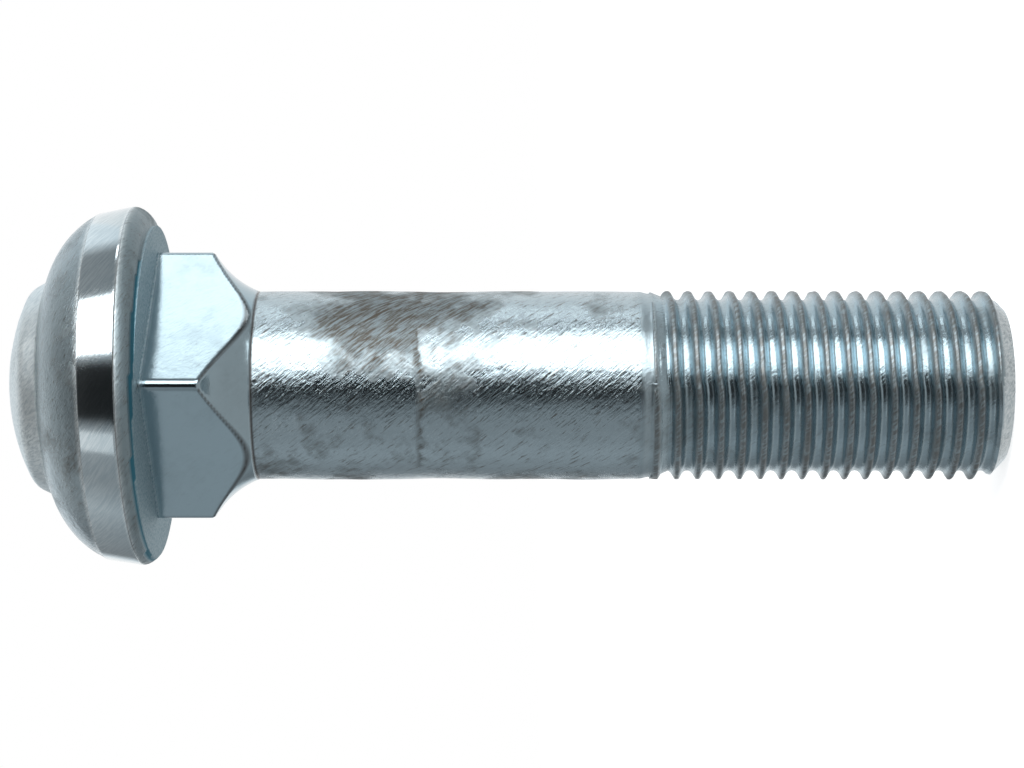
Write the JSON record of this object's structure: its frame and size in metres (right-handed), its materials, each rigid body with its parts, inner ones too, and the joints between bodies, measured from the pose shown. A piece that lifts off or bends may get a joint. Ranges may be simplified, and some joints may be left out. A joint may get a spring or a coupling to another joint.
{
  "type": "square-neck bolt",
  "caption": "Zinc-plated forged bolt with a stepped dome head on a round flange, a square neck, a plain shank and a rolled thread.",
  "frame": {"origin": "centre of the flat end face of the thread, on which the bolt stands", "axes": "+Z along the bolt's axis, from the threaded end up to the head; the flats of the square neck face +X, -X, +Y and -Y"},
  "size_m": [0.0342, 0.0342, 0.0942],
  "materials": {
    "zinc_plated_steel": "bright blue-white zinc plating over a forged skin, with light scratches along the shank"
  },
  "bodies": {
    "root": {"bolt": "zinc_plated_steel"}
  },
  "joints": []
}
